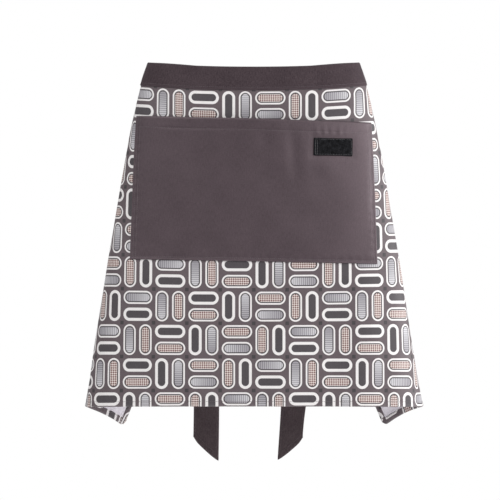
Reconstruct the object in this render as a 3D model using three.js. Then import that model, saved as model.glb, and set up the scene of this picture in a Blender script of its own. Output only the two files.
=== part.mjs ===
import * as THREE from "three";
import { mergeVertices } from "three/addons/utils/BufferGeometryUtils.js";

// Waiter's waist apron in the form it has when worn and tied, in millimetres, +Z up.
// The front faces -Y, and +X is to the right as seen from the front.
// The origin is the middle of the waist hollow, level with the middle of the band's front.

// Driving sizes of the apron
const BAND_HEIGHT = 35;
const SKIRT_DROP = 475; // centre front, from the band's lower edge to the hem
const HEM_SIDE_DIP = 4.5; // how much lower the hem is at the hips than in front
const HEM_CURVE = 3; // power with which it sinks from centre front to the hips
const HEM_CORNER_DIP = 33; // and how much lower again at the rear corners

// Thickness of cloth and the clearance between pieces that are sewn together
const CLOTH = 1.2;
const TURNED_HEM = 2.2;
const BAND_CLOTH = 1;
const SEAM_GAP = 0.3;
const BAND_GAP = 0.45; // on each side of the skirt's edge inside the band
const HEM_WIDTH = 10;
const HEM_STEP = 1.5; // the cloth thickens to a turned hem over this length
const TUCK = 10; // the skirt's upper edge runs this far up inside the folded band

// Level sections: the half width, and the depth in front of and behind the widest line
const GIRTHS = [
  { drop: -35, halfWidth: 159.5, front: 46, back: 80 },
  { drop: 0, halfWidth: 171, front: 48, back: 82 },
  { drop: 208, halfWidth: 212, front: 60, back: 100 },
  { drop: 352, halfWidth: 238, front: 68, back: 111 },
  { drop: 475, halfWidth: 257, front: 74, back: 119 },
];
const FRONT_SQUARENESS = 2.5; // 2 would be an ellipse
const BACK_SQUARENESS = 2.2;

// How much higher the waist is than in front, from centre front (0) round to centre back (1)
const WAIST_RISE = [
  { round: 0, rise: 0 },
  { round: 0.22, rise: 1.6 },
  { round: 0.33, rise: 4.6 },
  { round: 0.49, rise: 9.8 },
  { round: 0.62, rise: 11.5 },
  { round: 1, rise: 5 },
];

// How far the cloth reaches back round each side, measured round the girth past the widest line
const WRAPS = [
  { drop: 0, wrap: 138 },
  { drop: 230, wrap: 142 },
  { drop: 390, wrap: 124 },
  { drop: 475, wrap: 97 },
];

// Soft upright folds: place across as a share of the reach, half width, depth out and first drop
const FOLDS = [
  { across: -0.93, halfWidth: 0.09, depth: -4, from: 120 },
  { across: -0.34, halfWidth: 0.13, depth: 1.6, from: 250 },
  { across: 0.12, halfWidth: 0.12, depth: 1.2, from: 290 },
  { across: 0.4, halfWidth: 0.12, depth: 1.8, from: 230 },
  { across: 0.91, halfWidth: 0.1, depth: -5, from: 100 },
];

// Patch pocket across the front
const POCKET = { drop: 44, height: 211, topHalfWidth: 182, bottomHalfWidth: 189, tilt: 0.015 };
const POCKET_GAPE = 10; // how far the middle of the mouth stands open
const POCKET_HEM = 15;

// Hook-and-loop tape on the pocket, with a thin sewn end at its left
const PATCH = { across: 119, drop: 86, length: 58, height: 25, thickness: 1.7 };
const PATCH_SEWN_END = { length: 5.5, step: 0.7, ramp: 0.3 };

// Ties: they run from the band's ends through a knot at centre back, and hang
const BAND_OVERRUN = 11; // band past the skirt's rear edges, where the tie is sewn in
const TIE = { stubWidth: 25, stubThickness: 1, knotWidth: 13, knotThickness: 4.4 };
const STUB_PLACES = [1.5, 5, BAND_OVERRUN, BAND_OVERRUN + 7]; // along it, from the skirt's rear edge
const KNOT = { length: 28, height: 40, wall: 1.8, corner: 5 };
const KNOT_LAYER_GAP = 0.8;
const KNOT_MOUTH = 2; // the ties are gathered this far outside the knot
const KNOT_RUN_IN = 6; // and turn to cross it over this length
const KNOT_CROSSING = { mouth: 9, runIn: 6.3 }; // above the knot's middle coming in, below it going out

// Tails: cut is how much shorter the outer edge is than the inner edge, slant how far up that begins
const TAIL = { width: 38.5, thickness: 1.4, cut: 37, slant: 120 };
const SHOULDER = { x: 0.7, z: 0.42, width: 0.62, thickness: 2 }; // near the knot, as shares of the tail's top

// Free ends: places of the middle line below the knot, top to tip
const TAIL_LEFT = [
  { x: -76, z: -130 },
  { x: -76, z: -320 },
  { x: -74.5, z: -495 },
  { x: -74, z: -585 },
];
const TAIL_RIGHT = [
  { x: 73, z: -130 },
  { x: 67, z: -320 },
  { x: 60, z: -495 },
  { x: 56, z: -585 },
];
const TAIL_BEHIND = 15; // the tails hang this far behind the waist's rearmost line

// Colours by eye
const PRINT_MEAN = 0x958b8f;
const PLAIN_CLOTH = 0x584d52;
const TAPE_BLACK = 0x222225;
const CLOTH_ROUGHNESS = 0.8;
const PILE_ROUGHNESS = 0.95;

const girthSpline = new THREE.CubicInterpolant(
  GIRTHS.map((row) => row.drop),
  GIRTHS.flatMap((row) => [row.halfWidth, row.front, row.back]),
  3,
);

const wrapSpline = new THREE.CubicInterpolant(
  WRAPS.map((row) => row.drop),
  WRAPS.map((row) => row.wrap),
  1,
);

const waistRise = new THREE.CubicInterpolant(
  WAIST_RISE.map((row) => row.round),
  WAIST_RISE.map((row) => row.rise),
  1,
);
waistRise.settings = { endingStart: THREE.ZeroSlopeEnding, endingEnd: THREE.ZeroSlopeEnding };

// Half of a level section, from centre front (t = 0) round the right side to centre back (t = 1)
class Girth extends THREE.Curve {
  constructor(drop) {
    super();
    [this.halfWidth, this.front, this.back] = girthSpline.evaluate(drop);
  }

  getPoint(t, target = new THREE.Vector3()) {
    const angle = Math.PI * Math.min(Math.max(t, 0), 1);
    const isFront = angle < Math.PI / 2;
    const power = 2 / (isFront ? FRONT_SQUARENESS : BACK_SQUARENESS);
    const x = this.halfWidth * Math.sin(angle) ** power;
    const depth = Math.abs(Math.cos(angle)) ** power;
    return target.set(x, isFront ? -this.front * depth : this.back * depth, 0);
  }

  lengthToSide() {
    const lengths = this.getLengths();
    return lengths[(lengths.length - 1) / 2];
  }
}

const girths = new Map();

function girthAt(drop) {
  if (!girths.has(drop)) girths.set(drop, new Girth(drop));
  return girths.get(drop);
}

// Half the cloth's width at a level, measured round the girth from centre front
function reachAt(drop) {
  if (drop < 0) return (reachAt(0) * girthAt(drop).getLength()) / girthAt(0).getLength();
  const [wrap] = wrapSpline.evaluate(Math.min(drop, SKIRT_DROP));
  return girthAt(Math.min(drop, SKIRT_DROP)).lengthToSide() + wrap;
}

function foldDepth(across, drop) {
  let depth = 0;
  for (const fold of FOLDS) {
    const away = Math.abs(across - fold.across) / fold.halfWidth;
    if (away >= 1) continue;
    const ramp = THREE.MathUtils.smoothstep(drop, fold.from, SKIRT_DROP);
    depth += fold.depth * ramp * Math.cos((away * Math.PI) / 2) ** 2;
  }
  return depth;
}

// Point of the cloth's outer face. across is a share of the reach, -1 to 1, from left to right
function clothPoint(across, drop) {
  const girth = girthAt(drop);
  const reach = reachAt(drop);
  const side = Math.sign(across) || 1;
  const run = Math.abs(across) * reach;
  const part = Math.min(run / girth.getLength(), 1);
  const point = girth.getPointAt(part);
  const along = girth.getTangentAt(part);
  const onWaist = Math.min((Math.abs(across) * reachAt(0)) / girthAt(0).getLength(), 1);
  const [rise] = waistRise.evaluate(onWaist);
  const share = THREE.MathUtils.clamp(drop / SKIRT_DROP, 0, 1);
  const fold = foldDepth(across, drop);
  return new THREE.Vector3(
    side * (point.x + along.y * fold),
    point.y - along.x * fold,
    rise * (1 - share) - BAND_HEIGHT / 2 - drop - hemDip(girth, reach, run) * share,
  );
}

// How far the hem sinks below its level in front. Past the hips it looks straight from the front
function hemDip(girth, reach, run) {
  const toSide = girth.lengthToSide();
  if (run < toSide) return HEM_SIDE_DIP * (run / toSide) ** HEM_CURVE;
  const inwards = (length) => {
    const part = Math.min(length / girth.getLength(), 1);
    return girth.halfWidth - girth.getPointAt(part).x;
  };
  return HEM_SIDE_DIP + (HEM_CORNER_DIP * inwards(run)) / inwards(reach);
}

function clothNormal(across, drop) {
  const step = 0.002;
  const level = 1;
  const round = clothPoint(across + step, drop).sub(clothPoint(across - step, drop));
  const down = clothPoint(across, drop + level).sub(clothPoint(across, drop - level));
  return down.cross(round).normalize();
}

function clothOffset(across, drop, offset) {
  return clothPoint(across, drop).addScaledVector(clothNormal(across, drop), offset);
}

// Closed wall: a box's grid, with place(column, row, isOuter) giving the point of each corner
function wall(columns, rows, place) {
  const box = new THREE.BoxGeometry(1, 1, 1, columns, rows, 1);
  box.deleteAttribute("normal");
  box.deleteAttribute("uv");
  const geometry = mergeVertices(box);
  const corners = geometry.attributes.position;
  for (let i = 0; i < corners.count; i += 1) {
    const column = Math.round((corners.getX(i) + 0.5) * columns);
    const row = Math.round((0.5 - corners.getY(i)) * rows);
    const point = place(column, row, corners.getZ(i) > 0);
    corners.setXYZ(i, point.x, point.y, point.z);
  }
  splitQuadsShort(geometry);
  geometry.computeVertexNormals();
  return geometry;
}

// The box lists each quad's corners as a b d, b c d. A quad is cut along its shorter diagonal
function splitQuadsShort(geometry) {
  const index = geometry.index.array;
  const corner = (i) => new THREE.Vector3().fromBufferAttribute(geometry.attributes.position, i);
  for (let q = 0; q < index.length; q += 6) {
    const [a, b, d, , c] = index.slice(q, q + 6);
    const isShorter = corner(a).distanceTo(corner(c)) < corner(b).distanceTo(corner(d));
    if (isShorter) index.set([a, b, c, a, c, d], q);
  }
}

// Values from a table of stretches, each cut into equal steps
function stations(start, stretches) {
  const values = [start];
  for (const { to, steps } of stretches) {
    const from = values[values.length - 1];
    for (let i = 1; i <= steps; i += 1) values.push(from + ((to - from) * i) / steps);
  }
  return values;
}

// Where the turned rear edges begin, as a share of the reach
const rearHem = 1 - HEM_WIDTH / reachAt(SKIRT_DROP);
const rearHemStep = HEM_STEP / reachAt(SKIRT_DROP);

// Places across the cloth, crowded where it turns round the hips. Skirt and band share them
const roundTheHips = [
  { to: 0.4, steps: 5 },
  { to: 0.86, steps: 22 },
  { to: rearHem - rearHemStep, steps: 3 },
];

function mirrored(values) {
  return [...values.slice(1).reverse().map((value) => -value), ...values];
}

function piece(name, geometry, color, roughness = CLOTH_ROUGHNESS) {
  const mesh = new THREE.Mesh(geometry, new THREE.MeshStandardMaterial({ color, roughness, metalness: 0 }));
  mesh.name = name;
  return mesh;
}

// Skirt: one printed cloth, with its hem and rear edges turned to the inside
function makeSkirt() {
  const across = mirrored(
    stations(0, [
      ...roundTheHips,
      { to: rearHem, steps: 1 },
      { to: 1, steps: 1 },
    ]),
  );
  const hemTop = SKIRT_DROP - HEM_WIDTH;
  const drops = stations(-TUCK, [
    { to: 0, steps: 1 },
    { to: hemTop - HEM_STEP, steps: 11 },
    { to: hemTop, steps: 1 },
    { to: SKIRT_DROP, steps: 1 },
  ]);
  const inHem = (u, drop) => drop > 0 && (Math.abs(u) >= rearHem || drop >= hemTop);
  const geometry = wall(across.length - 1, drops.length - 1, (column, row, isOuter) => {
    const u = across[column];
    const drop = drops[row];
    if (isOuter) return clothPoint(u, drop);
    return clothOffset(u, drop, inHem(u, drop) ? -TURNED_HEM : -CLOTH);
  });
  return piece("skirt", geometry, PRINT_MEAN);
}

// Waistband: one strip folded lengthwise over the skirt's upper edge
function makeWaistband() {
  const end = 1 + BAND_OVERRUN / reachAt(0);
  const across = mirrored(
    stations(0, [
      ...roundTheHips,
      { to: 1, steps: 1 },
      { to: end, steps: 1 },
    ]),
  );
  const radius = (CLOTH + 2 * BAND_GAP + BAND_CLOTH) / 2;
  const foldDrop = -BAND_HEIGHT + radius + BAND_CLOTH / 2;
  const sideDrops = [0, -TUCK, foldDrop];
  const sideSteps = sideDrops.length - 1;
  const foldSteps = 4;
  const rows = 2 * sideSteps + foldSteps;
  const geometry = wall(across.length - 1, rows, (column, row, isOuter) => {
    const u = across[column];
    const fromOuterEdge = rows - row;
    const arm = radius + (isOuter ? BAND_CLOTH : -BAND_CLOTH) / 2;
    const turn = THREE.MathUtils.clamp((fromOuterEdge - sideSteps) / foldSteps, 0, 1) * Math.PI;
    const fromEdge = Math.min(fromOuterEdge, rows - fromOuterEdge, sideSteps);
    const drop = sideDrops[fromEdge] - arm * Math.sin(turn);
    return clothOffset(u, drop, -CLOTH / 2 + arm * Math.cos(turn));
  });
  return piece("waistband", geometry, PLAIN_CLOTH);
}

function pocketHalfWidth(down) {
  return THREE.MathUtils.lerp(POCKET.topHalfWidth, POCKET.bottomHalfWidth, down);
}

// How far the pocket stands off the skirt, at a distance across and a share of its height down
function pocketGape(across, down) {
  const share = Math.min(Math.abs(across) / pocketHalfWidth(down), 1);
  return POCKET_GAPE * Math.cos((Math.PI / 2) * share) ** 2 * (1 - down) ** 2;
}

// Point at an offset from the pocket's outer face
function pocketPoint(across, down, offset) {
  const drop = POCKET.drop + POCKET.height * down + POCKET.tilt * across;
  const outerFace = SEAM_GAP + pocketGape(across, down) + CLOTH;
  return clothOffset(across / reachAt(drop), drop, outerFace + offset);
}

// Pocket: sewn on at its sides and foot, and a little open at the top
function makePocket() {
  const shares = mirrored(
    stations(0, [
      { to: 0.6, steps: 5 },
      { to: 1, steps: 16 },
    ]),
  );
  const hemShare = POCKET_HEM / POCKET.height;
  const downs = stations(0, [
    { to: hemShare, steps: 1 },
    { to: hemShare + HEM_STEP / POCKET.height, steps: 1 },
    { to: 1, steps: 6 },
  ]);
  const geometry = wall(shares.length - 1, downs.length - 1, (column, row, isOuter) => {
    const down = downs[row];
    const across = shares[column] * pocketHalfWidth(down);
    if (isOuter) return pocketPoint(across, down, 0);
    const turned = down <= hemShare ? Math.min(TURNED_HEM - CLOTH, pocketGape(across, down)) : 0;
    return pocketPoint(across, down, -CLOTH - turned);
  });
  return piece("pocket", geometry, PLAIN_CLOTH);
}

// Hook-and-loop patch: its back follows the pocket and its pile face is flat
function makePatch() {
  const { across, length, height, thickness } = PATCH;
  const down = (PATCH.drop - POCKET.drop) / POCKET.height;
  const onPocket = (a, b) => pocketPoint(across + a, down - b / POCKET.height, 0);
  const right = onPocket(length / 2, 0).sub(onPocket(-length / 2, 0)).normalize();
  const upwards = onPocket(0, height / 2).sub(onPocket(0, -height / 2));
  const out = right.clone().cross(upwards).normalize();
  const up = out.clone().cross(right);
  const middle = onPocket(0, 0).addScaledVector(out, SEAM_GAP + thickness);
  const sewnTo = -length / 2 + PATCH_SEWN_END.length;
  const sewnColumns = 2;
  const columns = stations(-length / 2, [
    { to: sewnTo, steps: sewnColumns - 1 },
    { to: sewnTo + PATCH_SEWN_END.ramp, steps: 1 },
    { to: length / 2, steps: 4 },
  ]);
  const rows = stations(height / 2, [{ to: -height / 2, steps: 2 }]);
  const geometry = wall(columns.length - 1, rows.length - 1, (column, row, isOuter) => {
    const a = columns[column];
    const b = rows[row];
    if (!isOuter) return pocketPoint(across + a, down - b / POCKET.height, SEAM_GAP);
    const face = middle.clone().addScaledVector(right, a).addScaledVector(up, b);
    return column < sewnColumns ? face.addScaledVector(out, -PATCH_SEWN_END.step) : face;
  });
  return piece("hook_loop_patch", geometry, TAPE_BLACK, PILE_ROUGHNESS);
}

// Middle of the knot, on the waist's rearmost line
const knotMiddle = clothPoint(girthAt(0).getLength() / reachAt(0), -BAND_HEIGHT / 2);
const layerStep = TIE.knotThickness + KNOT_LAYER_GAP;
const knotInner = 2 * layerStep + KNOT_LAYER_GAP;

// Places along a tie, with the steps to each. side is where it is sewn on, layer its place in the knot
function tieRoute(side, layer, tail) {
  const reach = reachAt(0);
  const onWaist = (run, width, thickness) => {
    const across = (side * run) / reach;
    const drop = -BAND_HEIGHT / 2;
    const facing = clothNormal(across, drop);
    return { at: clothOffset(across, drop, -CLOTH / 2), facing, width, thickness };
  };
  const behind = new THREE.Vector3(0, 1, 0);
  const knotY = knotMiddle.y + KNOT_LAYER_GAP + TIE.knotThickness / 2 + layer * layerStep;
  const inKnot = (x, z) => ({
    at: new THREE.Vector3(x, knotY, knotMiddle.z + z),
    facing: behind,
    width: TIE.knotWidth,
    thickness: TIE.knotThickness,
  });
  const tailY = knotMiddle.y + TAIL_BEHIND;
  const hanging = (x, z, widthShare, thicknessShare) => ({
    at: new THREE.Vector3(x, tailY, z),
    facing: behind,
    width: widthShare * TAIL.width,
    thickness: thicknessShare * TAIL.thickness,
  });
  const mouth = KNOT.length / 2 + KNOT_MOUTH;
  const crossing = mouth - KNOT_RUN_IN;
  const [top] = tail;
  const shoulder = hanging(SHOULDER.x * top.x, SHOULDER.z * top.z, SHOULDER.width, SHOULDER.thickness);
  return [
    ...STUB_PLACES.map((past) => ({ steps: 1, ...onWaist(reach + past, TIE.stubWidth, TIE.stubThickness) })),
    { steps: 4, ...inKnot(side * mouth, KNOT_CROSSING.mouth) },
    { steps: 2, ...inKnot(side * crossing, KNOT_CROSSING.runIn) },
    { steps: 4, ...inKnot(-side * crossing, -KNOT_CROSSING.runIn) },
    { steps: 2, ...inKnot(-side * mouth, -KNOT_CROSSING.mouth) },
    { steps: 6, ...shoulder },
    ...tail.map(({ x, z }, i) => ({ steps: i ? 3 : 6, ...hanging(x, z, 1, 1) })),
  ];
}

function makeTie(name, side, layer, tail) {
  const route = tieRoute(side, layer, tail);
  const line = new THREE.CatmullRomCurve3(route.map((row) => row.at), false, "centripetal");
  const last = route.length - 1;
  const places = stations(0, route.slice(1).map(({ steps }, i) => ({ to: i + 1, steps })));
  const columns = 4;
  const section = (place) => {
    const from = Math.min(Math.floor(place), last - 1);
    const share = THREE.MathUtils.smoothstep(place - from, 0, 1);
    const a = route[from];
    const b = route[from + 1];
    return {
      facing: a.facing.clone().lerp(b.facing, share).normalize(),
      width: THREE.MathUtils.lerp(a.width, b.width, share),
      thickness: THREE.MathUtils.lerp(a.thickness, b.thickness, share),
    };
  };
  const tailSide = Math.sign(tail[0].x);
  const lowest = tail[tail.length - 1].z;
  const geometry = wall(columns, places.length - 1, (column, row, isOuter) => {
    const { facing, width, thickness } = section(places[row]);
    const t = places[row] / last;
    const middle = line.getPoint(t);
    const along = line.getTangent(t);
    const widthways = facing.clone().cross(along).normalize();
    const share = column / columns - 0.5;
    const point = middle.clone().addScaledVector(widthways, share * width);
    const out = along.clone().cross(widthways).normalize();
    point.addScaledVector(out, ((isOuter ? 1 : -1) * thickness) / 2);
    const slant = THREE.MathUtils.smoothstep(-point.z, -lowest - TAIL.slant, -lowest);
    const outward = (tailSide * (point.x - middle.x)) / TAIL.width + 0.5;
    point.z += TAIL.cut * slant * THREE.MathUtils.clamp(outward, 0, 1);
    return point;
  });
  return piece(name, geometry, PLAIN_CLOTH);
}

// Knot: a short flattened sleeve that both ties pass through
function makeKnot() {
  const roundedBox = (path, width, height, radius) => {
    const x = width / 2;
    const y = height / 2;
    path.moveTo(-x + radius, -y);
    path.lineTo(x - radius, -y);
    path.absarc(x - radius, -y + radius, radius, -Math.PI / 2, 0);
    path.absarc(x - radius, y - radius, radius, 0, Math.PI / 2);
    path.absarc(-x + radius, y - radius, radius, Math.PI / 2, Math.PI);
    path.absarc(-x + radius, -y + radius, radius, Math.PI, 1.5 * Math.PI);
    return path;
  };
  const thickness = knotInner + 2 * KNOT.wall;
  const outline = roundedBox(new THREE.Shape(), thickness, KNOT.height, KNOT.corner);
  const innerHeight = KNOT.height - 2 * KNOT.wall;
  outline.holes.push(roundedBox(new THREE.Path(), knotInner, innerHeight, KNOT.corner - KNOT.wall));
  const run = { depth: KNOT.length, bevelEnabled: false, curveSegments: 4 };
  const geometry = new THREE.ExtrudeGeometry(outline, run);
  geometry.translate(0, 0, -KNOT.length / 2);
  const mesh = piece("tie_knot", geometry, PLAIN_CLOTH);
  const x = new THREE.Vector3(1, 0, 0);
  const y = new THREE.Vector3(0, 1, 0);
  const z = new THREE.Vector3(0, 0, 1);
  mesh.quaternion.setFromRotationMatrix(new THREE.Matrix4().makeBasis(y, z, x));
  mesh.position.copy(knotMiddle);
  mesh.position.y += knotInner / 2;
  return mesh;
}

const apron = new THREE.Group();
apron.add(makeSkirt());
apron.add(makeWaistband());
apron.add(makePocket());
apron.add(makePatch());
apron.add(makeTie("tie_left", -1, 0, TAIL_RIGHT));
apron.add(makeTie("tie_right", 1, 1, TAIL_LEFT));
apron.add(makeKnot());

export default apron;
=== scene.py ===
import math
import bmesh
import bpy
import numpy as np
from functools import partialmethod
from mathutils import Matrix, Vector


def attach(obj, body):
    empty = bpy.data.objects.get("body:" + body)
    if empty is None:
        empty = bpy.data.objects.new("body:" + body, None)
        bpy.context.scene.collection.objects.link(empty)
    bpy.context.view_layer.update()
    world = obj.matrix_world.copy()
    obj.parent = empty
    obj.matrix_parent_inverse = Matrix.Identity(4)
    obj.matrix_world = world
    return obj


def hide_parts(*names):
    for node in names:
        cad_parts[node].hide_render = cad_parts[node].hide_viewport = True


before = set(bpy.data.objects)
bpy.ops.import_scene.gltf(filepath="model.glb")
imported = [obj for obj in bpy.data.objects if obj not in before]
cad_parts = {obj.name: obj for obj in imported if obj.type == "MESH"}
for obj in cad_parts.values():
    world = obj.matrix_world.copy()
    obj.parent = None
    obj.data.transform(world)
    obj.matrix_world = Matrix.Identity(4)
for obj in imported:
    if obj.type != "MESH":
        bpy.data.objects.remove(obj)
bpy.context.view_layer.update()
print("frame loaded:", ", ".join(sorted(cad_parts)))

scene = bpy.context.scene
mm = 0.001
fullTurn = 2 * math.pi


def tone(red, green, blue):  # screen values 0-255 to a linear colour
    values = np.array([red, green, blue]) / 255
    linear = np.where(values <= 0.04045, values / 12.92, ((values + 0.055) / 1.055) ** 2.4)
    return (*linear.tolist(), 1.0)


# worn form of the cloth in millimetres, as in the solids apart from small trims near the hem
wornForm = {
    "bandHeight": 35.0,
    "skirtDrop": 473.0,  # centre front, band's lower edge to hem
    "hemSideDip": 4.5,
    "hemCurve": 3,
    "hemCornerDip": 35.0,
    "squareFront": 2.5,
    "squareBack": 2.2,
    # drop, half width, depth in front of the widest line, depth behind it
    "girths": [(-35, 159.5, 46, 80), (0, 171, 48, 82), (208, 212, 60, 100), (352, 238, 68, 111),
               (475, 257, 74, 119)],
    # share of the way round from centre front to centre back, rise of the waist
    "waistRise": [(0, 0), (0.22, 1.6), (0.33, 4.6), (0.49, 9.8), (0.62, 11.5), (1, 5)],
    # drop, how far the cloth reaches round past the widest line
    "wraps": [(0, 138), (230, 142), (390, 127), (475, 103)],
    # place across as a share of the reach, half width, depth, first drop
    "folds": [(-0.93, 0.09, -4, 120), (-0.34, 0.13, 1.6, 250), (0.12, 0.12, 1.2, 290),
              (0.4, 0.12, 1.8, 230), (0.91, 0.1, -5, 100)],
}
skirtDrop = wornForm["skirtDrop"]
seamGap = 0.3  # between cloths that are sewn together
clothThickness = 1.2


def unit(vectors):
    return vectors / np.maximum(np.linalg.norm(vectors, axis=-1, keepdims=True), 1e-12)


def runAlong(points):  # distance of each point from the first, along the line
    return np.concatenate([[0], np.cumsum(np.linalg.norm(np.diff(points, axis=0), axis=1))])


def smoothStep(at, low, high):
    p = np.clip((at - low) / (high - low), 0, 1)
    return p * p * (3 - 2 * p)


def hump(away, halfWidth):  # 1 in the middle, fading to 0
    return np.exp(-(away / halfWidth) ** 2)


def ripple(along, pitch, across, wander):  # waves along a seam, not quite even
    return np.sin(fullTurn * along / pitch + np.sin(across / wander))


def hermite(p, first, last, firstSlope, lastSlope):
    return ((2 * p**3 - 3 * p**2 + 1) * first + (p**3 - 2 * p**2 + p) * firstSlope
            + (3 * p**2 - 2 * p**3) * last + (p**3 - p**2) * lastSlope)


def smoothTable(rows, column, levelEnds=False):
    x, y = (np.array([row[k] for row in rows], float) for k in (0, column))
    slopes = np.diff(y) / np.diff(x)
    ends = (0.0, 0.0) if levelEnds else (slopes[0], slopes[-1])
    tangents = np.concatenate([[ends[0]], (slopes[1:] + slopes[:-1]) / 2, [ends[1]]])

    def valueAt(at):
        at = np.clip(at, x[0], x[-1])
        i = np.clip(np.searchsorted(x, at, side="right") - 1, 0, len(x) - 2)
        width = x[i + 1] - x[i]
        return hermite((at - x[i]) / width, y[i], y[i + 1], width * tangents[i], width * tangents[i + 1])

    return valueAt


halfWidthAt, frontAt, backAt = (smoothTable(wornForm["girths"], column) for column in (1, 2, 3))
wrapAt = smoothTable(wornForm["wraps"], 1)
riseAt = smoothTable(wornForm["waistRise"], 1, levelEnds=True)


def sectionPoint(t, drop):  # t runs from centre front (0) to centre back (1)
    angle = math.pi * np.clip(t, 0, 1)
    inFront = angle < math.pi / 2
    power = np.where(inFront, 2 / wornForm["squareFront"], 2 / wornForm["squareBack"])
    x = halfWidthAt(drop) * np.abs(np.sin(angle)) ** power
    y = np.where(inFront, -frontAt(drop), backAt(drop)) * np.abs(np.cos(angle)) ** power
    return x, y


# arc lengths of the level sections, kept in a table
levelStep = 4.0
levels = np.arange(-40.0, 484.0, levelStep)
lengthShares = np.linspace(0, 1, 401)


def measureSections():
    t = np.linspace(0, 1, 801)
    placed, girths, sides = [], [], []
    for drop in levels:
        run = runAlong(np.stack(sectionPoint(t, drop), -1))
        placed.append(np.interp(lengthShares * run[-1], run, t))
        girths.append(run[-1])
        sides.append(np.interp(0.5, t, run))
    return np.array(placed)[..., None], np.array(girths), np.array(sides)


sectionPlaces, sectionGirths, sectionSides = measureSections()


def girthAt(drop):
    return np.interp(drop, levels, sectionGirths)


def sideAt(drop):
    return np.interp(drop, levels, sectionSides)


def between(grid, row, column):  # a grid's values at fractional rows and columns
    i = np.clip(row.astype(int), 0, grid.shape[0] - 2)
    j = np.clip(column.astype(int), 0, grid.shape[1] - 2)
    a, b = (row - i)[..., None], (column - j)[..., None]
    upper = (1 - b) * grid[i, j] + b * grid[i, j + 1]
    lower = (1 - b) * grid[i + 1, j] + b * grid[i + 1, j + 1]
    return (1 - a) * upper + a * lower


def onSection(run, drop):
    column = np.clip(run / girthAt(drop), 0, 1) * (len(lengthShares) - 1)
    row = np.clip((drop - levels[0]) / levelStep, 0, len(levels) - 1.001)
    return sectionPoint(between(sectionPlaces, row, column)[..., 0], drop)


def reachAt(drop):  # half the cloth's width, measured round the girth
    drop = np.minimum(drop, skirtDrop)
    below = sideAt(drop) + wrapAt(drop)
    waist = sideAt(0.0) + wrapAt(0.0)
    return np.where(drop < 0, waist * girthAt(drop) / girthAt(0.0), below)


waistReach = float(reachAt(0.0))


def foldDepth(across, drop, folds):
    depth = np.zeros(np.shape(across))
    for at, halfWidth, fold, first in folds:
        away = np.minimum(np.abs(across - at) / halfWidth, 1)
        depth = depth + fold * smoothStep(drop, first, skirtDrop) * np.cos(away * math.pi / 2) ** 2
    return depth


def clothPoint(across, drop, nearby=0.5):  # outer face; across is a share of the reach, -1 to 1
    across, drop = np.broadcast_arrays(np.asarray(across, float), np.asarray(drop, float))
    side = np.where(across < 0, -1.0, 1.0)
    reach = reachAt(drop)
    run = np.abs(across) * reach
    x, y = onSection(run, drop)
    nextX, nextY = onSection(run + nearby, drop)
    lastX, lastY = onSection(np.maximum(run - nearby, 0), drop)
    length = np.maximum(np.hypot(nextX - lastX, nextY - lastY), 1e-9)
    push = foldDepth(across, drop, wornForm["folds"]) / length
    share = np.clip(drop / skirtDrop, 0, 1)
    rise = riseAt(np.minimum(np.abs(across) * waistReach / girthAt(0.0), 1))
    toSide = sideAt(drop)
    cornerX = onSection(reach, drop)[0]
    inwards = (halfWidthAt(drop) - x) / np.maximum(halfWidthAt(drop) - cornerX, 1e-6)
    dip = np.where(run < toSide, wornForm["hemSideDip"] * (run / toSide) ** wornForm["hemCurve"],
                   wornForm["hemSideDip"] + wornForm["hemCornerDip"] * inwards)
    z = rise * (1 - share) - wornForm["bandHeight"] / 2 - drop - dip * share
    return np.stack([side * (x + (nextY - lastY) * push), y - (nextX - lastX) * push, z], -1)


def clothNormal(across, drop, aside=0.002, below=1.0):
    roundIt = clothPoint(across + aside, drop) - clothPoint(across - aside, drop)
    downIt = clothPoint(across, drop + below) - clothPoint(across, drop - below)
    return unit(np.cross(downIt, roundIt))


def offCloth(across, drop, lift):
    return clothPoint(across, drop) + clothNormal(across, drop) * np.asarray(lift)[..., None]


def gridNormal(points):
    return unit(np.cross(np.gradient(points, axis=0), np.gradient(points, axis=1)))


def onGrid(points, row, column):  # places between the grid's points, and the way they face
    row, column = np.broadcast_arrays(np.asarray(row, float), np.asarray(column, float))
    return between(points, row, column), between(gridNormal(points), row, column)


def stationAt(value, stations):  # fractional index of a value among rising stations
    return np.interp(value, stations, np.arange(len(stations)))


def stretches(start, *parts):  # stations: each part is (end, steps)
    values = [start]
    for end, steps in parts:
        values.extend(np.linspace(values[-1], end, steps + 1)[1:])
    return np.array(values)


def rumple(x, y, size):  # soft uneven surface, -1 to 1, the same each run
    waves = [(1.0, 0.31, 0.4), (0.62, -0.83, 1.9), (-0.27, 1.13, 3.1), (1.47, 0.71, 5.2), (0.15, -1.61, 0.9)]
    return sum(np.sin(fullTurn * (a * x + b * y) / size + phase) for a, b, phase in waves) / len(waves)


def bumps(table, across, drop):
    total = np.zeros(np.broadcast(across, drop).shape)
    for at, level, halfWidth, halfLength, depth, lean in table:
        below = drop - level
        total = total + depth * hump(across - at - lean * below, halfWidth) * hump(below, halfLength)
    return total


print("worn form ready, waist", round(float(girthAt(0.0)) * 2), "mm round")


def link(tree, value, socket):
    value = value.socket if isinstance(value, Wire) else value
    if isinstance(value, bpy.types.NodeSocket):
        tree.links.new(value, socket)
    else:
        socket.default_value = value


def addNode(tree, kind, given, **settings):
    node = tree.nodes.new(kind)
    for name, value in settings.items():
        setattr(node, name, value)
    for title, value in given.items():
        link(tree, value, node.inputs[title])
    return node


class Wire:  # what a node puts out, so that sums of nodes read as sums
    def __init__(self, tree, socket):
        self.tree, self.socket = tree, socket

    def do(self, operation, *others):
        given = dict(enumerate((self, *others)))
        return Wire(self.tree, addNode(self.tree, "ShaderNodeMath", given, operation=operation).outputs[0])

    __add__ = partialmethod(do, "ADD")
    __sub__ = partialmethod(do, "SUBTRACT")
    __mul__ = partialmethod(do, "MULTIPLY")
    __truediv__ = partialmethod(do, "DIVIDE")

    def __rsub__(self, other):
        return self * -1.0 + other


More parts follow.
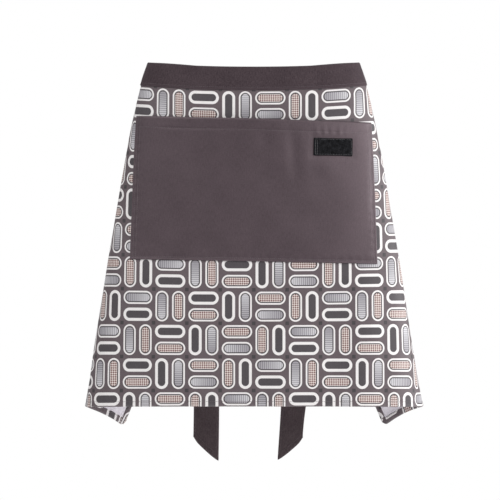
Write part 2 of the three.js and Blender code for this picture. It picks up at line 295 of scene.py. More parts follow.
def mixTone(tree, share, first, second):
    return addNode(tree, "ShaderNodeMix", {0: share, 6: first, 7: second}, data_type="RGBA").outputs[2]


def noiseAt(tree, vector, scale, detail=2.0):
    given = {"Vector": vector, "Scale": scale, "Detail": detail}
    return Wire(tree, addNode(tree, "ShaderNodeTexNoise", given).outputs["Fac"])


def splitFlat(tree, flat):
    parts = addNode(tree, "ShaderNodeSeparateXYZ", {0: flat}).outputs
    return Wire(tree, parts["X"]), Wire(tree, parts["Y"])


def newGroup(name, inputs, outputs):
    group = bpy.data.node_groups.new(name, "ShaderNodeTree")
    for title, kind, value in inputs:
        socket = group.interface.new_socket(name=title, in_out="INPUT", socket_type="NodeSocket" + kind)
        if value is not None:
            socket.default_value = value
    for title, kind in outputs:
        group.interface.new_socket(name=title, in_out="OUTPUT", socket_type="NodeSocket" + kind)
    given = group.nodes.new("NodeGroupInput").outputs
    out = group.nodes.new("NodeGroupOutput").inputs
    return group, {title: Wire(group, given[title]) for title, _, _ in inputs}, out


def placeGroup(tree, group, **values):
    node = addNode(tree, "ShaderNodeGroup", values, node_tree=group)
    return {socket.name: Wire(tree, socket) for socket in node.outputs}


# threads under and over each other, and uneven dye
weaveLook = {
    "weftShare": 0.35,
    "slubs": 520.0,  # to a metre, like the next two
    "streaks": 620.0,
    "clouds": 26.0,
    "streakDraw": (1.0, 0.25, 1.0),
    "heights": (0.5, 0.4),  # slubs, threads
    "tones": (0.9, 0.1, 0.8, 0.5, -0.6),  # slubs, threads, streaks, clouds, shift
}


def makeWeaveGroup():
    look = weaveLook
    group, given, out = newGroup(
        "clothWeave",
        [("Flat", "Vector", None), ("Threads", "Float", 900.0), ("Slant", "Float", 0.0)],
        [("Height", "Float"), ("Tone", "Float")])
    flat = given["Flat"]
    warp, weft = (place * given["Threads"] for place in splitFlat(group, flat))
    ribs = ((weft * given["Slant"] + warp) * fullTurn).do("SINE")
    woven = (weft * fullTurn).do("SINE") * look["weftShare"] + ribs
    drawn = addNode(group, "ShaderNodeVectorMath", {0: flat, 1: look["streakDraw"]}, operation="MULTIPLY")
    slubs = noiseAt(group, flat, look["slubs"], 3.0)
    streaks = noiseAt(group, drawn.outputs[0], look["streaks"])
    clouds = noiseAt(group, flat, look["clouds"], 4.0)
    bySlub, byThread = look["heights"]
    link(group, slubs * bySlub + woven * byThread, out["Height"])
    bySlub, byThread, byStreak, byCloud, shift = look["tones"]
    uneven = slubs * bySlub + woven * byThread + streaks * byStreak + clouds * byCloud + shift
    link(group, uneven, out["Tone"])
    return group


def makeRubGroup(patches=350.0, strength=1.6, shift=0.3):  # lighter, rubbed threads along folded edges
    group, given, out = newGroup(
        "rubbedEdge", [("Edge", "Float", 0.0), ("Flat", "Vector", None), ("Amount", "Float", 0.5)],
        [("Mask", "Float")])
    patchy = given["Edge"] * (noiseAt(group, given["Flat"], patches, 3.0) * strength - shift)
    link(group, patchy.do("MAXIMUM", 0.0).do("MINIMUM", 1.0) * given["Amount"], out["Mask"])
    return group


# printed cloth: pairs of capsules, upright and lying in turn, like a basket weave
printLook = {
    "cell": 0.05,  # metres, one pair of capsules
    "straight": 0.52,  # this and the next three in half cells
    "radius": 0.39,
    "outline": 0.1,
    "ring": 0.07,
    "square": 0.055,  # half a small square, in cells
    "rules": 8.0,  # lines to half a cell
    "ruleFrom": (0.85, -0.45),  # where in its pitch a line starts, and the change along the capsule
    "checks": 3.8,  # diamonds to half a cell
    "ground": tone(84, 72, 76),
    "white": tone(234, 231, 230),
    "ringGrey": tone(56, 51, 55),
    "rule": tone(128, 125, 131),
    "ruleLight": tone(212, 211, 214),
    "ruleDark": tone(146, 143, 149),
    "rust": tone(116, 78, 71),
    "checkLight": tone(220, 209, 204),
    "accent": tone(40, 36, 39),
}


def makePrintGroup():
    look = printLook
    group, given, out = newGroup(
        "capsulePrint", [("Flat", "Vector", None), ("Cell", "Float", look["cell"])], [("Color", "Color")])
    x, y = (place / given["Cell"] for place in splitFlat(group, given["Flat"]))
    column, row = x.do("FLOOR"), y.do("FLOOR")
    inX, inY = x.do("FRACT"), y.do("FRACT")
    isLying = ((column + row) * 0.5).do("FRACT") * 2.0
    turn = isLying * (inY - inX)
    across = (inX + turn) * 2.0
    which = across.do("FLOOR")  # first or second of the pair
    wide = across.do("FRACT") - 0.5
    along = ((inY - turn) * 2.0 - 1.0) * (1.0 - which * 2.0)
    past = (along.do("ABSOLUTE") - look["straight"]).do("MAXIMUM", 0.0)
    depth = look["radius"] - (wide * wide + past * past).do("SQRT")
    # ruled core, lighter to darker along the capsule
    fade = along * 0.5 + 0.5
    start, change = look["ruleFrom"]
    isRule = (along * look["rules"]).do("FRACT").do("GREATER_THAN", fade * change + start)
    ruled = mixTone(group, isRule, mixTone(group, fade, look["ruleLight"], look["ruleDark"]), look["rule"])
    # checked core, small diamonds
    one, two = ((place * look["checks"]).do("FRACT").do("LESS_THAN", 0.5)
                for place in (wide + along, wide - along))
    checked = mixTone(group, (one - two).do("ABSOLUTE"), look["checkLight"], look["rust"])
    # capsules in turn ruled, checked and plain dark with a broad pale outline
    kind = ((row * 2.0 + column + which) * (1 / 3) + 0.05).do("FRACT")
    isPlain = kind.do("LESS_THAN", 0.3)
    core = mixTone(group, kind.do("GREATER_THAN", 0.6), ruled, checked)
    core = mixTone(group, isPlain, core, look["ringGrey"])
    ring = mixTone(group, isPlain, look["ringGrey"], look["white"])
    # small dark squares where four cells meet
    edgeX, edgeY = (place.do("MINIMUM", 1.0 - place) for place in (inX, inY))
    isSquare = edgeX.do("MAXIMUM", edgeY).do("LESS_THAN", look["square"])
    color = mixTone(group, isSquare, look["ground"], look["accent"])
    depths = (0.0, look["outline"], look["outline"] + look["ring"])
    for level, layer in zip(depths, (look["white"], ring, core)):
        color = mixTone(group, depth.do("GREATER_THAN", level), color, layer)
    link(group, color, out["Color"])
    return group


weaveGroup = makeWeaveGroup()
rubGroup = makeRubGroup()
printGroup = makePrintGroup()


def startMaterial(name):
    material = bpy.data.materials.new(name)
    material.use_nodes = True
    material.node_tree.nodes.clear()
    return material, material.node_tree


def finishMaterial(tree, color, roughness, bump=None, **sockets):  # bump: height, strength, metres
    given = {title.replace("_", " "): value for title, value in sockets.items()}
    if bump:
        raised = dict(zip(("Height", "Strength", "Distance"), bump))
        given["Normal"] = addNode(tree, "ShaderNodeBump", raised).outputs[0]
    given.update({"Base Color": color, "Roughness": roughness})
    shader = addNode(tree, "ShaderNodeBsdfPrincipled", given)
    addNode(tree, "ShaderNodeOutputMaterial", {"Surface": shader.outputs[0]})


def flatPlace(tree):
    return addNode(tree, "ShaderNodeUVMap", {}, uv_map="flat").outputs[0]


def edgePlace(tree):
    return addNode(tree, "ShaderNodeAttribute", {}, attribute_name="edge").outputs["Fac"]


def objectPlace(tree):
    return addNode(tree, "ShaderNodeTexCoord", {}).outputs["Object"]


# plain cloth: the pocket is cut with its lustre across, the strips along the grain are duller
pocketLook = {
    "dark": tone(38, 30, 34),
    "light": tone(76, 65, 70),
    "rubbed": tone(104, 92, 97),
    "rub": 0.35,
    "threads": 760.0,  # to a metre
    "slant": 0.0,
    "sheen": 0.05,
    "sheenTint": tone(235, 222, 228),
    "gloss": 0.72,
    "lustre": (1.0, 0.81, 0.88, 1.0),  # dyed threads tint their own shine
    "roughness": 0.34,
    "bump": (0.35, 0.0003),
}
stripLook = {**pocketLook, "light": tone(82, 71, 75), "slant": 0.5, "gloss": 0.2, "roughness": 0.62}
# ties and knot: the strip cloth with a lighter tone painted in, offsetting the shade the skirt casts on the
# tails hanging behind it
tieLookPaintedLighter = {**stripLook, "light": tone(92, 82, 83)}


def makePlainCloth(name, look):
    material, tree = startMaterial(name)
    flat = flatPlace(tree)
    weave = placeGroup(tree, weaveGroup, Flat=flat, Threads=look["threads"], Slant=look["slant"])
    rub = placeGroup(tree, rubGroup, Edge=edgePlace(tree), Flat=flat, Amount=look["rub"])
    dyed = mixTone(tree, weave["Tone"], look["dark"], look["light"])
    worn = mixTone(tree, rub["Mask"], dyed, look["rubbed"])
    finishMaterial(tree, worn, weave["Tone"] * 0.2 + look["roughness"], (weave["Height"], *look["bump"]),
                   Sheen_Weight=look["sheen"], Sheen_Roughness=0.4, Sheen_Tint=look["sheenTint"],
                   Specular_IOR_Level=look["gloss"], Specular_Tint=look["lustre"])
    return material


# the skirt's two faces; uneven is how far the weave greys the print
faceLook = {
    "threads": 900.0,  # to a metre
    "bump": (0.3, 0.00025),
    "rub": 0.12,
    "uneven": 0.16,
    "grey": tone(150, 142, 147),
    "roughness": 0.48,
    "gloss": 0.45,
}
reverseLook = {
    "ground": tone(238, 234, 240),
    "strike": 0.08,  # how much of the print shows through
    "uneven": 0.14,
    "grey": tone(160, 152, 168),
    "roughness": 0.7,
    "gloss": 0.2,
}


def startPrint(name):
    material, tree = startMaterial(name)
    flat = flatPlace(tree)
    weave = placeGroup(tree, weaveGroup, Flat=flat, Threads=faceLook["threads"])
    printed = placeGroup(tree, printGroup, Flat=flat, Cell=printLook["cell"])["Color"]
    return material, tree, flat, weave["Tone"], printed, (weave["Height"], *faceLook["bump"])


def makePrintedCloth():
    material, tree, flat, uneven, printed, bump = startPrint("printedCloth")
    rub = placeGroup(tree, rubGroup, Edge=edgePlace(tree), Flat=flat, Amount=faceLook["rub"])
    dyed = mixTone(tree, uneven * faceLook["uneven"], printed, faceLook["grey"])
    worn = mixTone(tree, rub["Mask"], dyed, printLook["white"])
    finishMaterial(tree, worn, uneven * 0.2 + faceLook["roughness"], bump,
                   Sheen_Weight=0.05, Sheen_Roughness=0.4, Specular_IOR_Level=faceLook["gloss"])
    return material


def makeReverseCloth():
    material, tree, _, uneven, printed, bump = startPrint("reverseCloth")
    through = mixTone(tree, reverseLook["strike"], reverseLook["ground"], printed)
    shaded = mixTone(tree, uneven * reverseLook["uneven"], through, reverseLook["grey"])
    finishMaterial(tree, shaded, uneven * 0.15 + reverseLook["roughness"], bump,
                   Sheen_Weight=0.05, Specular_IOR_Level=reverseLook["gloss"])
    return material


tapeLook = {
    "dark": tone(3, 3, 4),
    "light": tone(36, 36, 39),
    "loops": 1300.0,  # to a metre, like the next
    "matting": 160.0,
    "roughness": 0.8,
    "gloss": 0.08,
    "bump": (0.8, 0.0006),
}


def makeTapePile():
    material, tree = startMaterial("tapePile")
    flat = flatPlace(tree)
    loops = noiseAt(tree, flat, tapeLook["loops"], 3.0)
    matted = noiseAt(tree, flat, tapeLook["matting"])
    color = mixTone(tree, loops + matted * 2.2 - 1.1, tapeLook["dark"], tapeLook["light"])
    finishMaterial(tree, color, matted * 0.15 + tapeLook["roughness"], (loops, *tapeLook["bump"]),
                   Sheen_Weight=0.01, Sheen_Roughness=0.6, Specular_IOR_Level=tapeLook["gloss"])
    return material


threadLook = {"twist": 2600.0, "roughness": 0.45, "bump": (0.4, 0.0002), "sheen": 0.2}


def makeThread(name, color, paler):
    material, tree = startMaterial(name)
    twist = noiseAt(tree, objectPlace(tree), threadLook["twist"], 1.0)
    finishMaterial(tree, mixTone(tree, twist, color, paler), twist * 0.2 + threadLook["roughness"],
                   (twist, *threadLook["bump"]), Sheen_Weight=threadLook["sheen"])
    return material


pocketCloth = makePlainCloth("pocketCloth", pocketLook)
stripCloth = makePlainCloth("stripCloth", stripLook)
tieClothPaintedLighter = makePlainCloth("tieClothPaintedLighter", tieLookPaintedLighter)
printedCloth = makePrintedCloth()
reverseCloth = makeReverseCloth()
tapePile = makeTapePile()
mauveThread = makeThread("mauveThread", tone(72, 61, 66), tone(102, 90, 95))
blackThread = makeThread("blackThread", tone(58, 57, 60), tone(112, 111, 115))
stripThread = makeThread("stripThread", tone(62, 50, 55), tone(82, 70, 75))
print("finishes ready:", len(bpy.data.materials), "materials")


def setUp(name, data, at=(0, 0, 0), turned=(0, 0, 0)):
    placed = bpy.data.objects.new(name, data)
    placed.location, placed.rotation_euler = at, turned
    scene.collection.objects.link(placed)
    return placed


def addPiece(name, vertices, faces, materials, faceLooks=None):
    mesh = bpy.data.meshes.new(name)
    mesh.from_pydata((np.asarray(vertices) * mm).tolist(), [], faces)
    for material in materials:
        mesh.materials.append(material)
    if faceLooks is not None:
        mesh.polygons.foreach_set("material_index", np.asarray(faceLooks, np.int32))
    mesh.polygons.foreach_set("use_smooth", np.ones(len(mesh.polygons), bool))
    mesh.update()
    return setUp(name, mesh)


rimRound = 0.4  # how far the rim stands out, as a share of the thickness
wornWidth = 1.3  # how far rubbing reaches in from an edge


def addSheet(name, outer, inner, flat, materials, edge, flatInside=None, insideLook=None):
    # closed cloth from two grids of points, with a rounded rim between them
    rows, columns = outer.shape[:2]
    count = rows * columns
    grid = np.arange(count).reshape(rows, columns)
    quads = np.stack([grid[:-1, :-1], grid[1:, :-1], grid[1:, 1:], grid[:-1, 1:]], -1).reshape(-1, 4)
    border = np.concatenate([grid[:, 0], grid[-1, 1:], grid[-2::-1, -1], grid[0, -2:0:-1]])
    r, c = border // columns, border % columns
    middle = (outer + inner) / 2
    outward = unit(middle[r, c] - middle[np.clip(r, 1, rows - 2), np.clip(c, 1, columns - 2)])
    thickness = np.linalg.norm(outer[r, c] - inner[r, c], axis=-1, keepdims=True)
    rim = middle[r, c] + outward * thickness * rimRound
    here = np.arange(len(border))
    there = np.roll(here, -1)
    rimOut = np.stack([border[there], border[here], 2 * count + here, 2 * count + there], -1)
    rimIn = np.stack([2 * count + there, 2 * count + here, count + border[here], count + border[there]], -1)
    faces = np.concatenate([quads, quads[:, ::-1] + count, rimOut, rimIn])
    looks = np.zeros(len(faces), int)
    if insideLook is not None:
        looks[len(quads):2 * len(quads)] = insideLook.reshape(-1)
    vertices = np.concatenate([outer.reshape(-1, 3), inner.reshape(-1, 3), rim])
    piece = addPiece(name, vertices, faces.tolist(), materials, looks)

    def addPlaces(title, places):
        piece.data.uv_layers.new(name=title).data.foreach_set("uv", places.astype(np.float32).ravel())

    flat, flatInside = (np.stack(places, -1) * mm for places in (flat, flatInside or flat))
    addPlaces("flat", np.concatenate([flat.reshape(-1, 2), flatInside.reshape(-1, 2), flat[r, c]])[faces])
    # spread out once over the square: outer face above, inner face below, rim in a strip at the foot
    spreadX = 0.02 + 0.96 * (quads % columns) / (columns - 1)
    spreadY = 0.98 - 0.46 * (quads // columns) / (rows - 1)
    front = np.stack([spreadX, spreadY], -1)
    behind = front[:, ::-1] - [0, 0.49]
    ahead, after = here / len(here), (here + 1) / len(here)
    strip = np.stack([after, ahead, ahead, after], -1) * 0.96 + 0.02
    rims = [np.stack([strip, np.broadcast_to([low, low, high, high], strip.shape)], -1)
            for low, high in ((0.004, 0.010), (0.010, 0.016))]
    addPlaces("OFBake", np.concatenate([front, behind, *rims]))
    worn = np.exp(-np.maximum(edge, 0) / wornWidth).reshape(-1)
    wornAll = np.concatenate([worn, worn, np.ones(len(border))])
    piece.data.attributes.new("edge", "FLOAT", "POINT").data.foreach_set("value", wornAll.astype(np.float32))
    return piece


# one stitch, a short plump capsule
stitch = {
    "profile": [(-0.4, 0.6), (-0.22, 1.0), (0.22, 1.0), (0.4, 0.6)],  # share of the pitch, of the thread
    "girth": (0.5, 0.4),  # half width and half height, as shares of the thread
    "sides": 5,
    "end": 0.45,
    "sink": -0.2,
}


def sewLine(points, normals, pitch, thread):  # one thread's stitches along a line of points
    lengths = runAlong(points)
    places = np.arange(0.5 * pitch, lengths[-1], pitch)

    def along(values, at):
        return np.stack([np.interp(at, lengths, values[:, k]) for k in range(3)], -1)

    near = 0.4  # either side, for the thread's direction
    run = unit(along(points, places + near) - along(points, places - near))
    out = unit(along(normals, places))
    side = unit(np.cross(out, run))
    sides, profile = stitch["sides"], stitch["profile"]
    wide, high = (share * thread for share in stitch["girth"])
    end, sink = stitch["end"] * pitch, stitch["sink"] * thread
    rings = [(at * pitch, wide * radius * math.cos(turn), high * radius * math.sin(turn))
             for at, radius in profile for turn in fullTurn * np.arange(sides) / sides]
    shape = np.array([(-end, 0, sink), *rings, (end, 0, sink)])[None]
    faces = []
    last = 1 + (len(profile) - 1) * sides
    for k in range(sides):
        after = (k + 1) % sides
        faces.append((0, 1 + after, 1 + k))
        for a in range(1, last, sides):
            faces.append((a + k, a + after, a + sides + after, a + sides + k))
        faces.append((last + k, last + after, len(rings) + 1))
    spots = along(points, places)[:, None]
    for k, way in enumerate((run, side, out)):
        spots = spots + shape[..., k:k + 1] * way[:, None]
    return spots, faces


def addStitching(name, lines, material, pitch=3.0, thread=0.55):
    vertices, faces, first = [], [], 0
    for points, normals in lines:
        spots, shape = sewLine(points, normals, pitch, thread)
        for spot in spots:
            vertices.append(spot)
            faces.extend([tuple(first + k for k in face) for face in shape])
            first += len(spot)
    piece = addPiece(name, np.concatenate(vertices), faces, [material])
    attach(piece, "root")
    return piece


def keepSheet(piece, node):
    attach(piece, "root")
    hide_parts(node)


# patch pocket, wanted first because the skirt lies smooth under it
pocket = {
    "drop": 45.0,
    "height": 212.0,
    "halfWidths": (182.0, 187.0),  # mouth, foot
    "tilts": (0.027, 0.019),  # mouth, foot: down to the right
    "dips": (5.7, 2.6),  # mouth, foot: how far the corners hang below the middle
    "flat": (0.374, 0.228),  # cut size in metres, with the turned mouth
    "gape": 10.0,
    "hem": 16.0,
    "turnedHem": 1.0,  # extra thickness of the turned mouth
    "seamIn": 4.0,  # stitches from the sewn edges
    "seamRows": (0.0, 4.5),  # two rows down each side
    "softEdge": 14.0,  # relief fades out towards the sewn edges
    "tapeEdge": 9.0,  # and round the tape
    "swell": (0.35, 130.0),  # height, size
    "pucker": (0.35, 7.0, 5.0, 13.0),  # depth, from the edge, half width, pitch
    "edgeLift": (0.7, 2.0),  # height, half width
    "hemGroove": (0.3, 1.6),  # depth, half width
    "sink": 0.7,  # share of the gape that relief may use
    # soft dents: across, drop, half width, half length, depth, lean
    "dents": [(46, 92, 10, 30, 0.9, 0.10), (60, 100, 9, 34, -1.1, 0.08), (76, 112, 12, 40, 0.9, 0.06),
              (16, 80, 10, 24, -0.8, -0.05), (30, 82, 10, 26, 0.6, 0.0), (150, 190, 34, 60, 1.8, -0.35),
              (-60, 180, 60, 60, 1.4, 0.2), (95, 66, 3.4, 9, 0.7, 0.12), (106, 67, 3.0, 9, 0.9, 0.05),
              (117, 67, 3.6, 8, 0.6, 0.0), (129, 68, 3.2, 9, 0.8, -0.1), (139, 69, 3.0, 8, 0.5, -0.15),
              (60, 222, 40, 26, 1.1, 0.3), (-130, 120, 30, 70, 1.0, 0.1), (110, 120, 20, 18, 0.9, 0.4)],
}
tape = {
    "across": 119.0,
    "drop": 88.5,
    "length": 58.0,
    "height": 25.0,
    "thickness": 1.7,
    "sewnEnd": 5.5,
    "sewnStep": 0.7,
    "selvage": (0.6, 1.8),  # flat woven edge round the pile: outer and inner line
    "selvageStep": 0.35,
    "join": (-3.5, 0.5, 0.6),  # faint upright line near the middle: place, depth, half width
    "pile": (0.32, 2.6, 4.1),  # how uneven the loops stand, in two sizes
    "seamIn": 1.2,
    "endSeam": 1.5,
}


def mouthToFoot(name, down):
    mouth, foot = pocket[name]
    return mouth + (foot - mouth) * down


def pocketHalfWidth(down):
    return mouthToFoot("halfWidths", down)


def pocketDrop(across, down):
    dip = mouthToFoot("dips", down) * (across / pocketHalfWidth(down)) ** 2
    return pocket["drop"] + pocket["height"] * down + mouthToFoot("tilts", down) * across + dip


def tapeDown():  # the tape's middle as a share of the pocket's height
    mouth, foot = (pocketDrop(tape["across"], down) for down in (0, 1))
    return (tape["drop"] - mouth) / (foot - mouth)


def pocketGape(across, down):
    share = np.minimum(np.abs(across) / pocketHalfWidth(down), 1)
    return pocket["gape"] * np.cos(math.pi / 2 * share) ** 2 * (1 - down) ** 2


def pocketRelief(across, down):
    drop, gape = pocketDrop(across, down), pocketGape(across, down)
    toSide = pocketHalfWidth(down) - np.abs(across)
    toFoot = (1 - down) * pocket["height"]
    toSeam = np.minimum(toSide, toFoot)
    fromTape = np.maximum(np.abs(across - tape["across"]) - tape["length"] / 2,
                          np.abs(down - tapeDown()) * pocket["height"] - tape["height"] / 2)
    besideTape = smoothStep(fromTape, 0, pocket["tapeEdge"])
    swell, size = pocket["swell"]
    soft = bumps(pocket["dents"], across, drop) + swell * rumple(across, drop, size) + swell
    depth, at, halfWidth, pitch = pocket["pucker"]
    waves = 0.5 + 0.5 * ripple(np.where(toSide < toFoot, drop, across), pitch, across, 31)
    pucker = depth * hump(toSeam - at, halfWidth) * waves
    lift, liftWidth = pocket["edgeLift"]
    groove, grooveWidth = pocket["hemGroove"]
    mouth = groove * hump(down * pocket["height"] - pocket["hem"], grooveWidth) * smoothStep(gape, 0.5, 2)
    inside = smoothStep(toSeam, 0, pocket["softEdge"])
    relief = np.maximum((soft * inside + pucker) * besideTape, -pocket["sink"] * gape)
    return relief - mouth * besideTape + lift * hump(toSeam, liftWidth)


def pocketPoint(across, down, offset=0.0):
    drop = pocketDrop(across, down)
    lift = seamGap + clothThickness + pocketGape(across, down) + offset + pocketRelief(across, down)
    return offCloth(across / reachAt(drop), drop, lift)


def makePocket():
    height, hem, seam = pocket["height"], pocket["hem"], pocket["seamIn"]
    nearEdge, ramp = 0.96, 1.5
    shares = stretches(-1.0, (-nearEdge, 6), (nearEdge, 180), (1.0, 6))
    downs = stretches(0.0, ((hem - ramp) / height, 7), ((hem + ramp) / height, 6), (nearEdge, 90), (1.0, 6))
    down, share = np.meshgrid(downs, shares, indexing="ij")
    across = share * pocketHalfWidth(down)
    outer = pocketPoint(across, down)
    turned = pocket["turnedHem"] * smoothStep(hem - down * height, -0.8, 0.8)
    turned = np.minimum(turned, pocketGape(across, down))
    inner = outer - gridNormal(outer) * (clothThickness + turned)[..., None]
    edge = np.minimum(pocketHalfWidth(down) - np.abs(across), np.minimum(down, 1 - down) * height)
    flat = across, -pocketDrop(across, down)
    piece = addSheet("pocket_cloth", outer, inner, flat, [pocketCloth], edge)
    line = np.linspace(0, 1, 240)
    lines = []

    def sewn(share, down):
        lines.append(onGrid(outer, stationAt(down, downs), stationAt(share, shares)))

    for side in (-1, 1):
        for extra in pocket["seamRows"]:
            sewn(side * (1 - (seam + extra) / pocketHalfWidth(line)), line)
    inside = (2 * line - 1) * (1 - seam / pocketHalfWidth(0))
    sewn(inside, 1 - seam / height)
    sewn(inside, hem / height)
    stitching = addStitching("pocket_stitching", lines, mauveThread)
    keepSheet(piece, "pocket")
    print("pocket sewn:", len(piece.data.polygons), "faces,", len(stitching.data.polygons), "stitch faces")


def makeTape():
    length, height, seam = tape["length"], tape["height"], tape["seamIn"]
    middleDown = tapeDown()

    def onPocket(a, b, offset=0.0):
        return pocketPoint(tape["across"] + a, middleDown - b / pocket["height"], offset)

    right = unit(onPocket(length / 2, 0) - onPocket(-length / 2, 0))
    out = unit(np.cross(right, onPocket(0, height / 2) - onPocket(0, -height / 2)))
    up = np.cross(out, right)

    def onFace(a, b, lift):
        return onPocket(0, 0) + right * a[..., None] + up * b[..., None] + out * lift[..., None]

    sewnTo, ramp = -length / 2 + tape["sewnEnd"], 0.3
    face = seamGap + tape["thickness"]
    a = stretches(-length / 2, (sewnTo - ramp, 10), (sewnTo + ramp, 2), (length / 2, 100))
    rowB, rowA = np.meshgrid(stretches(height / 2, (-height / 2, 48)), a, indexing="ij")
    onPile = smoothStep(rowA, sewnTo - ramp, sewnTo + ramp)
    inEdge = np.minimum(length / 2 - np.abs(rowA), height / 2 - np.abs(rowB))
    inside = smoothStep(inEdge, *tape["selvage"])
    uneven, fine, coarse = tape["pile"]
    loops = uneven * (rumple(rowA, rowB, fine) + 1.1 * rumple(rowB, rowA, coarse) - 0.5)
    joinAt, joinDepth, joinWidth = tape["join"]
    pile = inside * (loops - joinDepth * hump(rowA - joinAt, joinWidth)) - tape["selvageStep"] * (1 - inside)
    outer = onFace(rowA, rowB, face - tape["sewnStep"] * (1 - onPile) + onPile * pile)
    inner = onPocket(rowA, rowB, seamGap)
    piece = addSheet("hook_loop_tape", outer, inner, (rowA, rowB), [tapePile], inEdge)

    def seamAt(a, b):
        a, b = np.broadcast_arrays(a, b)
        lift = face - np.where(a < sewnTo, tape["sewnStep"], tape["selvageStep"])
        return onFace(a, b, lift), np.broadcast_to(out, (*a.shape, 3))

    halfA, halfB = length / 2 - seam, height / 2 - seam
    line = np.linspace(-1, 1, 60)
    lines = [seamAt(line * halfA, at) for at in (halfB, -halfB)]
    lines += [seamAt(at, line * halfB) for at in (halfA, tape["endSeam"] - length / 2, sewnTo - seam)]
    stitching = addStitching("tape_stitching", lines, blackThread, pitch=2.4, thread=0.5)
    keepSheet(piece, "hook_loop_patch")
    print("tape sewn on:", len(piece.data.polygons), "faces")


# printed skirt, hem and rear edges turned in
skirt = {
    "flat": (0.8, 0.51),  # cut size in metres, and its area
    "area": 0.38,
    "hemThickness": 2.2,
    "hemWidth": 8.0,
    "stitchFromEdge": 6.5,
    "corner": 7.0,  # rounding of the rear lower corners
    "tuck": 10.0,  # upper edge inside the band
    "swell": (0.3, 150.0),  # height, size
    "pucker": (0.3, 5.0, 12.0),  # depth, half width, pitch
    "groove": (0.25, 1.5),  # depth, half width
    # smooth round the pocket and below the band: relief starts at the first distance, is full at the second
    "besidePocket": (4.0, 18.0),
    "abovePocket": (5.0, 17.0),
    "belowPocket": (9.0, 25.0),
    "belowBand": (2.0, 16.0),
    "seamBelowBand": (4.0, 30.0),
    "seamFrom": 6.0,  # first rear stitch below the band
    # soft drape towards the rear edges: place as a share of the reach, half width, depth, first drop
    "drapes": [(-1.0, 0.07, 3.5, 120), (-0.82, 0.07, 4.5, 70), (-0.7, 0.06, -2.2, 140),
               (-0.56, 0.05, 1.4, 200), (0.55, 0.05, 1.2, 190), (0.675, 0.06, -2.4, 150),
               (0.8, 0.07, 5.0, 60), (1.0, 0.07, 4.0, 110)],
    # soft creases: across, drop, half width, half length, depth, lean
    "creases": [(-150, 390, 24, 110, 1.5, 0.05), (-70, 400, 28, 100, -1.2, -0.04),
                (35, 395, 26, 110, 1.3, 0.03), (118, 385, 26, 120, -1.4, 0.06),
                (176, 360, 22, 130, 1.6, 0.08), (212, 150, 14, 110, 1.1, 0.12),
                (-212, 160, 14, 110, 0.9, -0.12), (-92, 20, 28, 14, 0.7, 0.2),
                (64, 19, 24, 13, 0.6, -0.2), (146, 22, 20, 14, 0.7, 0.1),
                (-262, 300, 20, 150, -1.6, 0.1), (262, 280, 20, 150, -1.4, -0.1)],
}


def skirtRelief(share, drop):
    across = share * reachAt(drop)
    beside = smoothStep(np.abs(across) - pocketHalfWidth(1), *skirt["besidePocket"])
    above = smoothStep(pocket["drop"] - drop, *skirt["abovePocket"])
    below = smoothStep(drop - pocket["drop"] - pocket["height"], *skirt["belowPocket"])
    clear = np.maximum(beside, np.maximum(above, below)) * smoothStep(drop, *skirt["belowBand"])
    swell, size = skirt["swell"]
    soft = bumps(skirt["creases"], across, drop) + swell * rumple(across, drop, size)
    toHem = skirtDrop - drop
    toRear = (1 - np.abs(share)) * reachAt(drop)
    fromSeam = np.minimum(*(np.abs(away - skirt["stitchFromEdge"]) for away in (toHem, toRear)))
    depth, halfWidth, pitch = skirt["pucker"]
    groove, grooveWidth = skirt["groove"]
    waves = ripple(np.where(toHem < toRear, across, drop), pitch, across, 27)
    sewn = depth * waves * hump(fromSeam, halfWidth) - groove * hump(fromSeam, grooveWidth)
    sewn = sewn * smoothStep(drop, *skirt["seamBelowBand"])
    return soft * clear + sewn + foldDepth(share, drop, skirt["drapes"])


def roundCorners(share, drop):
    radius = skirt["corner"]
    a = np.clip(1 - (1 - np.abs(share)) * reachAt(drop) / radius, 0, 1)
    b = np.clip(1 - (skirtDrop - drop) / radius, 0, 1)
    nearBoth = (a > 0) & (b > 0)
    drop = np.where(nearBoth, skirtDrop - radius * (1 - b * np.sqrt(1 - a * a / 2)), drop)
    toRear = radius * (1 - a * np.sqrt(1 - b * b / 2))
    return np.where(nearBoth, np.sign(share) * (1 - toRear / reachAt(drop)), share), drop


